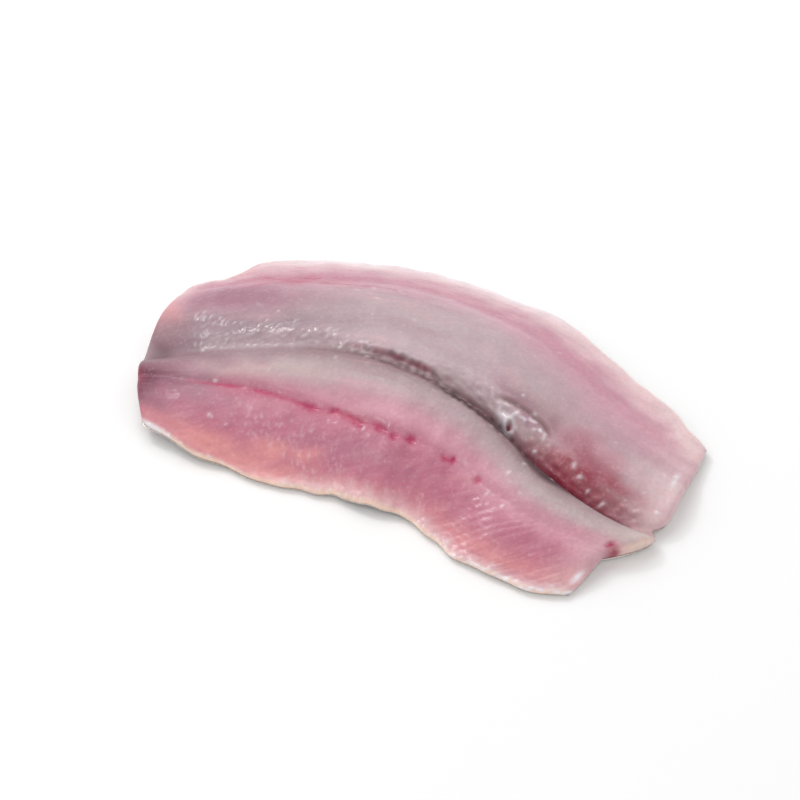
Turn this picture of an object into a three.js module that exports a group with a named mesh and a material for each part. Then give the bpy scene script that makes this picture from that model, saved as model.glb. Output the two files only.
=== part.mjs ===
// A raw sardine fillet, butterflied: one piece of fish, opened from the belly and left joined along the back.
// It lies skin side down with its two lobes spread to either side of the back groove, slightly arched like a
// low roof, and swings towards the viewer at its head end. -X is the tail end, +X the head end, -Y the near
// lobe, +Y the far lobe and +Z up.
//
// The shape starts from a smooth upper face. A midline of known length runs from tail to head, turning and
// tipping as it goes, and at each place along it a cross-section falls away to both sides. The groove, the
// blood lines and the swell of the loins are laid over that face. The flesh hangs below it, thick in the loins
// and thin at the belly edges, and lies flat where it reaches the board.
import * as THREE from "three";

// Driving dimensions, in millimetres. A list holds values at even steps along the midline, tail to head.
const MIDLINE_LENGTH = 120;
const TAIL_HEIGHT = 3.6; // of the upper face where the midline starts
const HEADING = [-12, -3, -9, -29, -52, -40, -21]; // degrees, seen from above, anticlockwise from +X
const PITCH = [21, 12, 7, -2, -11, -9, -19]; // degrees, rising towards the head
const SECTION_HEADING = [-11, -3, -7, -21, -33, -39, -26]; // degrees, turning later than the midline itself
const NEAR_WIDTH = [17.3, 30, 34.5, 34.2, 29.8, 27.3, 19.5];
const FAR_WIDTH = [30.6, 31.8, 33.7, 34.6, 34, 31.4, 26];

// How steeply each lobe falls away, in degrees, beside the groove and at the belly edge.
const NEAR_FALL = [-21, 5, 12, 11, 12, 3, 0];
const NEAR_EDGE_FALL = [40, 36, 32, 31, 36, 31, 30];
const FAR_FALL = [-7, -1, 6, 11, 5, 1, -3];
const FAR_EDGE_FALL = [34, 34, 33, 31, 25, 19, 13];
const FALL_CURVE = 1.5; // above 1 keeps the steeper fall near the belly edge
const CREST_HALF_WIDTH = 5; // the section turns from one lobe's slope to the other's over this

// The cut ends. Each corner is set in or out from the midline's end by so much.
const TAIL_NEAR_INSET = 4;
const TAIL_FAR_INSET = 7.1;
const HEAD_NEAR_INSET = 1.5;
const HEAD_FAR_INSET = 1.5;
const CORNER_CURVE = 1.6; // above 1 keeps the end straighter beside the groove
const NOTCH = { depth: 2, halfWidth: 0.07 }; // where the groove runs out at the head end
const TONGUE = { length: 6.4, reach: 0.5, root: 0.8 }; // the near loin sticks out past the near flap
const FLAP_START = { setBack: 5.5, from: 0.1, to: 0.19 }; // the far flap starts this far from the tail

// Flesh thickness.
const WEB = 2.2; // what is left under the groove
const BELLY_EDGE = 1.9;
const LOIN = [5.5, 8, 9, 9, 8.5, 7, 4.8];
const LOIN_PLACE = 0.34; // share of a lobe's width where the loin is thickest
const EDGE_ROUNDING = 1.1;
const TAIL_ROUNDING = 2;
const HEAD_ROUNDING = 2.6;
const BLUNTNESS = 2.4; // 2 is an ellipse, more is squarer
const BOARD_EASE = 0.4; // how softly the underside settles onto the board

// Groove, blood lines and loins on the upper face.
const GROOVE_DEPTH = [0.9, 1.2, 1.4, 1.9, 2.7, 3, 2.2];
const GROOVE_PLACE = [0, -0.6, -2, -4, -1.9, -1.3, -1.8]; // its bottom, from the midline
const GROOVE_NEAR_REACH = 1.9;
const GROOVE_FAR_REACH = 2.8;
const NEAR_BLOOD_LINE = [0.42, 0.36, 0.5, 0.55, 0.5, 0.465, 0.45]; // share of the lobe's width
const FAR_BLOOD_LINE = 0.64;
const NEAR_BLOOD_LINE_DEPTH = 0.45;
const FAR_BLOOD_LINE_DEPTH = 0.2;
const BLOOD_LINE_WIDTH = 1.4;
const LOIN_SWELL = 0.55;

// The uneven, hand-cut belly edges: [waves along the fillet, phase, size in mm].
const EDGE_WAVES = [
  [4.5, 0.6, 0.5],
  [9, 2.1, 0.35],
  [14, 4.4, 0.2],
];
const WANDER_CURVE = 3; // above 1 keeps the waves near the edge
const FAR_EDGE_SHIFT = 1.7; // turns the waves so that the two edges differ
const FAR_EDGE_CALM = 0.6; // and the far edge is smoother by this share
const INNER_BEND = { at: 0.52, width: 0.2, calm: 0.75 }; // the near edge is gathered here, and smoother

const CELLS_ALONG = 76;
const CELLS_ACROSS = 30;
const CROWD_ALONG = 0.5; // how much the grid lines crowd at the outline, 0 to 1
const CROWD_ACROSS = 0.55; // and at the outline and the groove
const MIDLINE_STEPS = 120;
const SECTION_STEPS = 12;
const OVERRUN = 0.1; // the midline is carried on past both ends by this share of its length

const { clamp, degToRad, lerp, smoothstep } = THREE.MathUtils;
const bell = (x, centre, width) => Math.exp(-(((x - centre) / width) ** 2));

// A smooth curve through evenly spaced values, read at 0 to 1.
function profile(values) {
  const curve = new THREE.SplineCurve(values.map((value, i) => new THREE.Vector2(i, value)));
  return (share) => curve.getPoint(clamp(share, 0, 1)).y;
}

const heading = profile(HEADING);
const pitch = profile(PITCH);
const sectionHeading = profile(SECTION_HEADING);
const nearWidth = profile(NEAR_WIDTH);
const farWidth = profile(FAR_WIDTH);
const nearFall = profile(NEAR_FALL);
const nearEdgeFall = profile(NEAR_EDGE_FALL);
const farFall = profile(FAR_FALL);
const farEdgeFall = profile(FAR_EDGE_FALL);
const loin = profile(LOIN);
const grooveDepth = profile(GROOVE_DEPTH);
const groovePlace = profile(GROOVE_PLACE);
const nearBloodLine = profile(NEAR_BLOOD_LINE);

// The frame of the midline at a share of its length: forward, towards the far side, and up.
function frameAt(share) {
  const turn = degToRad(heading(share));
  const tip = degToRad(pitch(share));
  const level = new THREE.Vector3(Math.cos(turn), Math.sin(turn), 0);
  const forward = level.multiplyScalar(Math.cos(tip)).add(new THREE.Vector3(0, 0, Math.sin(tip)));
  const across = degToRad(sectionHeading(share));
  const side = new THREE.Vector3(-Math.sin(across), Math.cos(across), 0);
  return { forward, side, up: forward.clone().cross(side).normalize() };
}

// Points laid end to end along the midline, each step in the direction it faces there.
const midline = [new THREE.Vector3()];
const carried = 1 + 2 * OVERRUN;
for (let i = 1; i <= MIDLINE_STEPS; i++) {
  const share = ((i - 0.5) / MIDLINE_STEPS) * carried - OVERRUN;
  const step = frameAt(share).forward.multiplyScalar((carried * MIDLINE_LENGTH) / MIDLINE_STEPS);
  midline.push(midline[i - 1].clone().add(step));
}

function midlinePoint(share) {
  const place = ((share + OVERRUN) / carried) * MIDLINE_STEPS;
  const i = clamp(Math.floor(place), 0, MIDLINE_STEPS - 1);
  return midline[i].clone().lerp(midline[i + 1], place - i);
}

const drop = TAIL_HEIGHT - midlinePoint(0).z;
for (const point of midline) point.z += drop;

// The slope of the cross-section, in radians, at a distance out from the groove. Near is negative.
function sectionSlope(share, out, width) {
  const toEdge = (Math.abs(out) / width) ** FALL_CURVE;
  const near = lerp(nearFall(share), nearEdgeFall(share), out < 0 ? toEdge : 0);
  const far = lerp(farFall(share), farEdgeFall(share), out > 0 ? toEdge : 0);
  const across = smoothstep(out, -CREST_HALF_WIDTH, CREST_HALF_WIDTH);
  return degToRad(lerp(near, -far, across));
}

// Distances along the midline where a grid line at "across" starts and ends (-1 near edge, 1 far edge).
function ends(across) {
  const corner = Math.abs(across) ** CORNER_CURVE;
  const tail = corner * (across < 0 ? TAIL_NEAR_INSET : TAIL_FAR_INSET);
  const head = corner * (across < 0 ? HEAD_NEAR_INSET : HEAD_FAR_INSET);
  return [tail, MIDLINE_LENGTH - head - NOTCH.depth * bell(across, 0, NOTCH.halfWidth)];
}

// How far the cut belly edge wanders from its smooth line.
function edgeWander(share, far) {
  let wander = 0;
  for (const [waves, phase, size] of EDGE_WAVES) {
    wander += size * Math.sin(2 * Math.PI * waves * share + phase + (far ? FAR_EDGE_SHIFT : 0));
  }
  if (!far) return wander * (1 - INNER_BEND.calm * bell(share, INNER_BEND.at, INNER_BEND.width));
  const step = FLAP_START.setBack * (1 - smoothstep(share, FLAP_START.from, FLAP_START.to));
  return wander * (1 - FAR_EDGE_CALM) - step;
}

// Height of the groove, the blood lines and the loins over the smooth face.
function relief(share, side, out, width) {
  const fromBottom = out - groovePlace(share);
  const reach = fromBottom < 0 ? GROOVE_NEAR_REACH : GROOVE_FAR_REACH;
  const groove = grooveDepth(share) * bell(fromBottom, 0, reach);
  const bloodLine = out < 0 ? nearBloodLine(share) : FAR_BLOOD_LINE;
  const bloodLineDepth = out < 0 ? NEAR_BLOOD_LINE_DEPTH : FAR_BLOOD_LINE_DEPTH;
  const crease = bloodLineDepth * bell((side - bloodLine) * width, 0, BLOOD_LINE_WIDTH);
  return LOIN_SWELL * bell(side, bloodLine / 2, bloodLine / 3) - groove - crease;
}

function thickness(share, side) {
  const underGroove = grooveDepth(share) + WEB;
  const inner = lerp(underGroove, loin(share), smoothstep(side, 0, LOIN_PLACE));
  return lerp(inner, BELLY_EDGE, smoothstep(side, LOIN_PLACE, 1));
}

// 0 at the outline, rising to 1 where the rounded rim meets the full thickness.
function rim(fromEdge, fromTail, fromHead) {
  const missing = (distance, rounding) => Math.max(0, 1 - distance / rounding) ** BLUNTNESS;
  const edge = missing(fromEdge, EDGE_ROUNDING);
  const gone = edge + missing(fromTail, TAIL_ROUNDING) + missing(fromHead, HEAD_ROUNDING);
  return Math.max(0, 1 - gone) ** (1 / BLUNTNESS);
}

// The upper and lower point at "along" (0 tail, 1 head) and "across" (-1 near edge, 1 far edge).
function surfacePair(along, across) {
  const side = Math.abs(across);
  const far = across > 0;
  const [start, end] = ends(across);
  const tongue = far ? 0 : TONGUE.length * Math.min(1, side / TONGUE.reach) ** 2;
  const distance = lerp(start, end, along) - tongue * smoothstep(along, TONGUE.root, 1);
  const share = distance / MIDLINE_LENGTH;
  const width = (far ? farWidth(share) : nearWidth(share)) + edgeWander(share, far) * side ** WANDER_CURVE;
  const out = across * width;
  const frame = frameAt(share);
  const point = midlinePoint(share);
  for (let i = 0; i < SECTION_STEPS; i++) {
    const slope = sectionSlope(share, (out * (i + 0.5)) / SECTION_STEPS, width);
    point.addScaledVector(frame.side, (Math.cos(slope) * out) / SECTION_STEPS);
    point.addScaledVector(frame.up, (Math.sin(slope) * out) / SECTION_STEPS);
  }
  const slope = sectionSlope(share, out, width);
  const normal = frame.up.multiplyScalar(Math.cos(slope)).addScaledVector(frame.side, -Math.sin(slope));

  const depth = thickness(share, side);
  const open = rim((1 - side) * width, distance - start, end - tongue - distance);
  const raised = relief(share, side, out, width);
  const upper = point.clone().addScaledVector(normal, lerp(-depth / 2, raised, open));
  const lower = point.clone().addScaledVector(normal, lerp(-depth / 2, -depth, open));
  const lowest = point.z - normal.z * depth;
  const lift = BOARD_EASE * Math.log1p(Math.exp(-lowest / BOARD_EASE));
  upper.z += lift;
  lower.z += lift;
  return { upper, lower };
}

// Moves an even step so that the grid lines crowd together at every whole number.
const crowd = (x, amount) => x - (amount * Math.sin(2 * Math.PI * x)) / (2 * Math.PI);

function filletGeometry() {
  const vertices = [];
  const triangles = [];
  const upper = [];
  const lower = [];
  const place = (point) => vertices.push(point.x, point.y, point.z) / 3 - 1;
  for (let i = 0; i <= CELLS_ALONG; i++) {
    upper.push([]);
    lower.push([]);
    for (let j = 0; j <= CELLS_ACROSS; j++) {
      const along = crowd(i / CELLS_ALONG, CROWD_ALONG);
      const across = crowd((2 * j) / CELLS_ACROSS - 1, CROWD_ACROSS);
      const pair = surfacePair(along, across);
      const onOutline = i === 0 || j === 0 || i === CELLS_ALONG || j === CELLS_ACROSS;
      upper[i][j] = place(pair.upper);
      lower[i][j] = onOutline ? upper[i][j] : place(pair.lower);
    }
  }
  // A cell is split from its first corner, or from its second where that one is nearer an end of the fillet.
  const split = (corners, second) => {
    const [a, b, c, d] = corners;
    if (second) triangles.push(b, c, d, b, d, a);
    else triangles.push(a, b, c, a, c, d);
  };
  for (let i = 0; i < CELLS_ALONG; i++) {
    for (let j = 0; j < CELLS_ACROSS; j++) {
      const second = i < CELLS_ALONG / 2 !== j < CELLS_ACROSS / 2;
      split([upper[i][j], upper[i + 1][j], upper[i + 1][j + 1], upper[i][j + 1]], second);
      split([lower[i][j], lower[i][j + 1], lower[i + 1][j + 1], lower[i + 1][j]], second);
    }
  }
  const geometry = new THREE.BufferGeometry();
  geometry.setAttribute("position", new THREE.Float32BufferAttribute(vertices, 3));
  geometry.setIndex(triangles);
  geometry.computeVertexNormals();
  return geometry;
}

const flesh = new THREE.MeshStandardMaterial({ color: 0xcf97a3, roughness: 0.28, metalness: 0 });

function makeFillet() {
  const fillet = new THREE.Mesh(filletGeometry(), flesh);
  fillet.name = "fillet";
  fillet.geometry.computeBoundingBox();
  const { min, max } = fillet.geometry.boundingBox;
  fillet.position.set(-(min.x + max.x) / 2, -(min.y + max.y) / 2, -min.z);
  return fillet;
}

const sardineFillet = new THREE.Group();
sardineFillet.add(makeFillet());

export default sardineFillet;
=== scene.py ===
"""A raw sardine fillet, butterflied and lying skin side down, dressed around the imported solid.

+X is the head end, -Y the near lobe, +Y the far lobe, +Z up from the board it lies on.
"""

import math
from types import SimpleNamespace

import bpy
import numpy as np
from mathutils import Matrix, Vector


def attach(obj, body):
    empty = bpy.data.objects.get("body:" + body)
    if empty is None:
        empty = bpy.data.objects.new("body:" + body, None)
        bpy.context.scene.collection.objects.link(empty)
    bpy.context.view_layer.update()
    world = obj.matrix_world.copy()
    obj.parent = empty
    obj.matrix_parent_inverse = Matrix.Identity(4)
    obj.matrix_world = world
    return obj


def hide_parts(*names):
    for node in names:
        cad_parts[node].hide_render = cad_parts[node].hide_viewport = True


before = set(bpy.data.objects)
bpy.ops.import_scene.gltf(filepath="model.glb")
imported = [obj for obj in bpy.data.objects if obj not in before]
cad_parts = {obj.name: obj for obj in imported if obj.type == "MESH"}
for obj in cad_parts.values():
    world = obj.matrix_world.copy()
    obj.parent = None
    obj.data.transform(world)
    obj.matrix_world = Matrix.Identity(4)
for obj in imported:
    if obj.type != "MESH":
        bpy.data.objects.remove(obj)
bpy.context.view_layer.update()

# The flesh. It is the muscle of one small oily fish, cut from the belly and opened like a book, so that two
# lobes stay joined along the back. It was cut square at both ends by hand, and lies slightly arched, with its
# head end swung towards the viewer. Sizes are in millimetres, and lists run from tail to head in even steps.
MM = 0.001
MIDLINE_LENGTH = 120
TAIL_HEIGHT = 3.6

# How the midline turns and tips, and how the cross sections turn, in degrees.
HEADING = [-12, -3, -9, -29, -52, -40, -21]
PITCH = [21, 12, 7, -2, -11, -9, -19]
SECTION_HEADING = [-11, -3, -7, -21, -33, -39, -26]

# How wide the lobes are, and how steeply they fall away beside the groove and at the edge, in degrees.
NEAR_WIDTH = [17.3, 30, 34.5, 34.2, 29.8, 27.3, 19.5]
FAR_WIDTH = [30.6, 31.8, 33.7, 34.6, 34, 31.4, 26]
NEAR_FALL = [-21, 5, 12, 11, 12, 3, 0]
NEAR_EDGE_FALL = [40, 36, 32, 31, 36, 31, 30]
FAR_FALL = [-7, -1, 6, 11, 5, 1, -3]
FAR_EDGE_FALL = [34, 34, 33, 31, 25, 19, 13]
FALL_CURVE = 1.5
CREST_HALF_WIDTH = 5

# The cut ends: how far their corners draw in, the backbone's notch, the tongue, and the set-back far flap.
TAIL_INSET = {"near": 4, "far": 7.1}
HEAD_INSET = 1.5
CORNER_CURVE = 1.6
NOTCH_DEPTH = 2
NOTCH_HALF_WIDTH = 0.07
TONGUE_LENGTH = 6.4
TONGUE_REACH = 0.5
TONGUE_START = 0.8
FLAP_SET_BACK = 5.5
FLAP_START = (0.1, 0.19)

# How thick the web under the groove, the loins and the belly edges are, and how the rims are rounded.
WEB = 2.2
BELLY_EDGE = 1.9
LOIN = [5.5, 8, 9, 9, 8.5, 7, 4.8]
LOIN_PLACE = 0.34
ROUNDING = {"edge": 1.1, "tail": 2, "head": 2.6}
BLUNTNESS = 2.4
BOARD_EASE = 0.4

# The groove where the backbone was, and the blood lines, as shares of the way to the belly edge.
GROOVE_DEPTH = [0.9, 1.2, 1.4, 1.9, 2.7, 3, 2.2]
GROOVE_PLACE = [0, -0.6, -2, -4, -1.9, -1.3, -1.8]
GROOVE_REACH = {"near": 1.9, "far": 2.8}
NEAR_BLOOD_LINE = [0.42, 0.36, 0.5, 0.55, 0.5, 0.465, 0.45]
FAR_BLOOD_LINE = 0.64
BLOOD_LINE_DEPTH = {"near": 0.45, "far": 0.2}
BLOOD_LINE_WIDTH = 1.4
LOIN_SWELL = 0.55

# How the belly edges wander, as waves in the whole length, phase and size, calmer round the inner bend.
EDGE_WAVES = [(4.5, 0.6, 0.5), (9, 2.1, 0.35), (14, 4.4, 0.2)]
EDGE_CURVE = 3
FAR_EDGE_SHIFT = 1.7
FAR_EDGE_CALM = 0.6
INNER_BEND = (0.52, 0.2, 0.75)

MIDLINE_STEPS = 120
SECTION_STEPS = 12
OVERRUN = 0.1
STATIONS = np.linspace(-OVERRUN, 1 + OVERRUN, MIDLINE_STEPS + 1)
STATION_GAP = STATIONS[1] - STATIONS[0]


def bell(x, centre, width):
    return np.exp(-(((x - centre) / width) ** 2))


def swells(x, places):
    """Bells added up: where each one is, how wide and how much."""
    return sum(amount * bell(x, at, width) for at, width, amount in places)


def mound(a, b, length, width):
    """1 at the middle of a mound that fades out by "length" along a and by "width" along b."""
    return np.exp(-((a / length) ** 2) - (b / width) ** 2)


def ease(x, low, high):
    t = np.clip((x - low) / (high - low), 0, 1)
    return t * t * (3 - 2 * t)


def between(x, rise, fall):
    """1 in the middle, rising from 0 over the first span and falling back over the second."""
    return ease(x, *rise) * (1 - ease(x, *fall))


def blend(a, b, share):
    return a + (b - a) * share


def profile(values, share):
    """A smooth curve through evenly spaced values, read at shares of its length."""
    values = np.asarray(values, float)
    last = len(values) - 1
    place = np.clip(share, 0, 1) * last
    i = np.clip(np.floor(place).astype(int), 0, last - 1)
    t = place - i
    before, here, there, after = (values[np.clip(i + k, 0, last)] for k in (-1, 0, 1, 2))
    slope_in, slope_out = (there - before) / 2, (after - here) / 2
    cubic = 2 * here - 2 * there + slope_in + slope_out
    square = -3 * here + 3 * there - 2 * slope_in - slope_out
    return cubic * t**3 + square * t**2 + slope_in * t + here


def directions(share):
    """Forward, towards the far side, and up, at shares of the midline."""
    turn, tip = np.radians(profile(HEADING, share)), np.radians(profile(PITCH, share))
    across = np.radians(profile(SECTION_HEADING, share))
    forward = np.stack([np.cos(tip) * np.cos(turn), np.cos(tip) * np.sin(turn), np.sin(tip)], -1)
    side = np.stack([-np.sin(across), np.cos(across), 0 * across], -1)
    up = np.cross(forward, side)
    return forward, side, up / np.linalg.norm(up, axis=-1, keepdims=True)


def midline_points(share):
    forward = directions((STATIONS[1:] + STATIONS[:-1]) / 2)[0]
    steps = forward * STATION_GAP * MIDLINE_LENGTH
    points = np.concatenate([np.zeros((1, 3)), np.cumsum(steps, axis=0)])
    points[:, 2] += TAIL_HEIGHT - np.interp(0, STATIONS, points[:, 2])
    return np.stack([np.interp(share, STATIONS, points[:, k]) for k in range(3)], -1)


def section_slope(share, out, width):
    """How the lobes fall away, in radians, at distances out from the midline."""
    to_edge = (np.abs(out) / width) ** FALL_CURVE
    near = blend(profile(NEAR_FALL, share), profile(NEAR_EDGE_FALL, share), np.where(out < 0, to_edge, 0))
    far = blend(profile(FAR_FALL, share), profile(FAR_EDGE_FALL, share), np.where(out > 0, to_edge, 0))
    return np.radians(blend(near, -far, ease(out, -CREST_HALF_WIDTH, CREST_HALF_WIDTH)))


def bent_section(share, out, width):
    """The face at distances out from the midline, followed in short steps down the lobes, and its normals."""
    point = midline_points(share)
    _, sideways, up = directions(share)
    for i in range(SECTION_STEPS):
        slope = section_slope(share, out * (i + 0.5) / SECTION_STEPS, width)[..., None]
        point = point + (sideways * np.cos(slope) + up * np.sin(slope)) * (out / SECTION_STEPS)[..., None]
    slope = section_slope(share, out, width)[..., None]
    return point, up * np.cos(slope) - sideways * np.sin(slope)


def edge_wander(share, far):
    wander = 0
    for waves, phase, size in EDGE_WAVES:
        wander = wander + size * np.sin(2 * math.pi * waves * share + phase + FAR_EDGE_SHIFT * far)
    at, width, calm = INNER_BEND
    step = FLAP_SET_BACK * (1 - ease(share, *FLAP_START))
    return np.where(far, wander * (1 - FAR_EDGE_CALM) - step, wander * (1 - calm * bell(share, at, width)))


def thickness(share, side):
    under_groove = profile(GROOVE_DEPTH, share) + WEB
    inner = blend(under_groove, profile(LOIN, share), ease(side, 0, LOIN_PLACE))
    return blend(inner, BELLY_EDGE, ease(side, LOIN_PLACE, 1))


def lay_out(along, across, grow=0, lengthen=0):
    """The smooth upper face at "along" (0 tail, 1 head) and "across" (-1 near edge, 1 far edge), with what
    else is known there. The belly edges are moved out by "grow" and the cut ends by "lengthen"."""
    side, far = np.abs(across), across > 0
    corner = side**CORNER_CURVE
    start = corner * np.where(far, TAIL_INSET["far"], TAIL_INSET["near"]) - lengthen
    end = MIDLINE_LENGTH - corner * HEAD_INSET - NOTCH_DEPTH * bell(across, 0, NOTCH_HALF_WIDTH) + lengthen
    tongue = np.where(far, 0, TONGUE_LENGTH * np.clip(side / TONGUE_REACH, 0, 1) ** 2)
    distance = blend(start, end, along) - tongue * ease(along, TONGUE_START, 1)
    share = distance / MIDLINE_LENGTH
    lobe = np.where(far, profile(FAR_WIDTH, share), profile(NEAR_WIDTH, share))
    width = lobe + edge_wander(share, far) * side**EDGE_CURVE + grow
    out = across * width
    point, normal = bent_section(share, out, width)
    depth = thickness(share, side)
    lowest = point[..., 2] - normal[..., 2] * depth
    point[..., 2] += BOARD_EASE * np.logaddexp(0, -lowest / BOARD_EASE)
    inward = {"edge": (1 - side) * width, "tail": distance - start, "head": end - tongue - distance}
    return SimpleNamespace(
        across=across, side=side, far=far, distance=distance, share=share, width=width, out=out,
        point=point, normal=normal, depth=depth, inward=inward,
    )


def rim(place, tightness=1):
    """0 at the outline, rising to 1 where the rounded rim meets the full thickness."""
    gone = 0
    for kind, distance in place.inward.items():
        gone = gone + np.clip(1 - distance / (ROUNDING[kind] * tightness), 0, None) ** BLUNTNESS
    return np.clip(1 - gone, 0, None) ** (1 / BLUNTNESS)


def raise_from(place, height):
    return place.point + place.normal * height[..., None]


def face(place, height):
    """Points at a height from the smooth face, drawn to half the flesh's depth at the rounded rim."""
    return raise_from(place, blend(-place.depth / 2, height, rim(place)))


CROWDING = 0.35


def crowded(cells):
    """Even steps from 0 to 1, drawn together at both ends."""
    x = np.linspace(0, 1, cells + 1)
    return x - CROWDING * np.sin(2 * math.pi * x) / (2 * math.pi)


def grid(cells_along, cells_across):
    """Grid lines that crowd at the outline and, across, at the groove too."""
    half = crowded(cells_across // 2)
    across = np.concatenate([half[:-1] - 1, half])
    return np.meshgrid(crowded(cells_along), across, indexing="ij")


def blood_line_of(place):
    return np.where(place.far, FAR_BLOOD_LINE, profile(NEAR_BLOOD_LINE, place.share))


def from_blood_line(place):
    """Distance beyond the blood line, towards the belly edge."""
    return (place.side - blood_line_of(place)) * place.width


def from_groove(place):
    """Distance out from the bottom of the groove."""
    return place.out - profile(GROOVE_PLACE, place.share)


def plain_relief(place):
    """The groove where the backbone was, the blood lines, and the swell of the loins."""
    from_bottom = from_groove(place)
    reach = np.where(from_bottom > 0, GROOVE_REACH["far"], GROOVE_REACH["near"])
    blood_line = blood_line_of(place)
    blood_line_depth = np.where(place.far, BLOOD_LINE_DEPTH["far"], BLOOD_LINE_DEPTH["near"])
    groove = profile(GROOVE_DEPTH, place.share) * bell(from_bottom, 0, reach)
    crease = blood_line_depth * bell(from_blood_line(place), 0, BLOOD_LINE_WIDTH)
    return LOIN_SWELL * bell(place.side, blood_line / 2, blood_line / 3) - groove - crease


SOLID_CELLS = (152, 60)

plain = lay_out(*grid(*SOLID_CELLS))
plain_points = np.concatenate([face(plain, plain_relief(plain)), face(plain, -plain.depth)]).reshape(-1, 3)
foot = (plain_points.min(axis=0) + plain_points.max(axis=0)) / 2
foot[2] = plain_points[:, 2].min()


def settle(points):
    """From the fish's own millimetres to metres in the solid's frame, which is centred and stands at 0."""
    return (points - foot) * MM


# Everything finer is uneven. Smooth fields of chance waves make it so.
WAVES = 18
FINE_WAVES = 26
WAVE_STRETCH = (0.7, 1.5)


def wave_field(a, b, apart, seed, waves):
    """A smooth uneven field over a and b, mostly within -1 to 1."""
    draw = np.random.default_rng(seed)
    whole_turn = 2 * math.pi
    total = 0
    for _ in range(waves):
        turn, phase = draw.uniform(0, whole_turn), draw.uniform(0, whole_turn)
        length = apart * draw.uniform(*WAVE_STRETCH)
        along_wave = a * math.cos(turn) + b * math.sin(turn)
        total = total + np.sin(whole_turn * along_wave / length + phase)
    return total / math.sqrt(2 * waves)


def ripples(place, apart, seed, waves=WAVES, squeeze=1):
    """An uneven field over the face. Its humps are closer together across the fillet by "squeeze"."""
    return wave_field(place.distance, place.out * squeeze, apart, seed, waves)


def fine_ripples(place, apart, seed, squeeze=1):
    return ripples(place, apart, seed, FINE_WAVES, squeeze)


# Muscle bands run along the fillet. On the near flap they swing towards the groove as they run to the head,
# by NEAR_SWING for each millimetre along, counted from STEADY_SHARE, and they show most there.
BAND_PITCH = 2.6
BAND_DEPTH = 0.06
BAND_WANDER = 0.7
NEAR_SWING = [0.15, 0.15, 0.2, 0.3, 0.45, 0.85, 1.15, 1.5, 1.6]
SWING_START = (2, 14)
STEADY_SHARE = 0.75
BANDING = {"near": [0.3, 0.35, 0.4, 0.45, 0.6, 0.8, 1, 1, 0.9], "far": 0.55, "loins": 0.1}


def band_place(place):
    """Distance across the muscle bands."""
    swings = np.cumsum(profile(NEAR_SWING, STATIONS)) * STATION_GAP * MIDLINE_LENGTH
    swing = np.interp(place.share, STATIONS, swings) - np.interp(STEADY_SHARE, STATIONS, swings)
    return place.out - ease(-place.out, *SWING_START) * swing + BAND_WANDER * ripples(place, 15, seed=3)


def banding(place):
    """How clearly the bands show: plainly on the near flap towards the head, faintly elsewhere."""
    patchy = np.clip(0.7 + 0.5 * ripples(place, 9, seed=5), 0, None)
    flap = np.where(place.far, BANDING["far"], profile(BANDING["near"], place.share))
    return patchy * blend(BANDING["loins"], flap, ease(from_blood_line(place), -2, 3))


def muscle_bands(place):
    """Rounded bands with creases between them."""
    rounded = np.abs(np.sin(math.pi * band_place(place) / BAND_PITCH))
    return BAND_DEPTH * banding(place) * rim(place, 2) * (rounded - 0.6)


# Soft lumps of three sizes lie nearly everywhere.
LUMP_HEIGHT = {"broad": 0.22, "small": 0.055, "fine": 0.03}
EVEN_LOIN = (-0.17, 0.16)


def unevenness(place):
    """1 over most of the face, and little at the tail end and on the tail half of the near loin."""
    tail = 1 - ease(place.share, 0.03, 0.12)
    loin = bell(place.across, *EVEN_LOIN) * (1 - ease(place.share, 0.35, 0.5))
    return 1 - 0.85 * np.clip(tail + loin, 0, 1)


def soft_lumps(place):
    broad = LUMP_HEIGHT["broad"] * ripples(place, 17, seed=7)
    small = LUMP_HEIGHT["small"] * ripples(place, 4.5, seed=8)
    fine = LUMP_HEIGHT["fine"] * ripples(place, 1.3, seed=9, waves=30)
    uneven = unevenness(place)
    return broad * blend(0.4, 1, uneven) + uneven * (small + fine)


STROKE_WINDOW = 4
STROKE_BEND = 0.25
STROKE_WIDTHS = (0.18, 0.32)


def stroke(place, share, middle, turn, length, width):
    """A short curved stroke, 0 to 1, and the small window that holds it."""
    a, b = place.distance - share * MIDLINE_LENGTH, place.out - middle
    close = (np.abs(a) < STROKE_WINDOW) & (np.abs(b) < STROKE_WINDOW)
    along = a[close] * math.cos(turn) + b[close] * math.sin(turn)
    beside = b[close] * math.cos(turn) - a[close] * math.sin(turn) + STROKE_BEND * along**2
    return close, mound(along, beside, length, width)


# Loose wet membrane lies in wrinkles on the tail half of the far loin: in one row that runs down to the
# groove, and in a fainter one beside it.
WRINKLES = 72
WRINKLE_START = 0.085
WRINKLE_END = 0.4
WRINKLE_LINE = [11, 10, 8.6, 5.4, 4.1, 3.8, 2.2, 0.2, -2]
WRINKLE_TURNS = (0.3, 1.7)
WRINKLE_LENGTHS = (0.35, 0.75)
WRINKLE_HEIGHT = 0.22
KNOT_HEIGHT = 0.05


def wrinkle_rows(place):
    """How much membrane lies at each place."""
    upper_row = bell(place.out, profile(WRINKLE_LINE, place.share / WRINKLE_END), 1.6)
    lower_row = 0.4 * bell(from_groove(place), 1.1, 0.9)
    return (upper_row + lower_row) * between(place.share, (0.03, 0.08), (0.34, 0.4))


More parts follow.
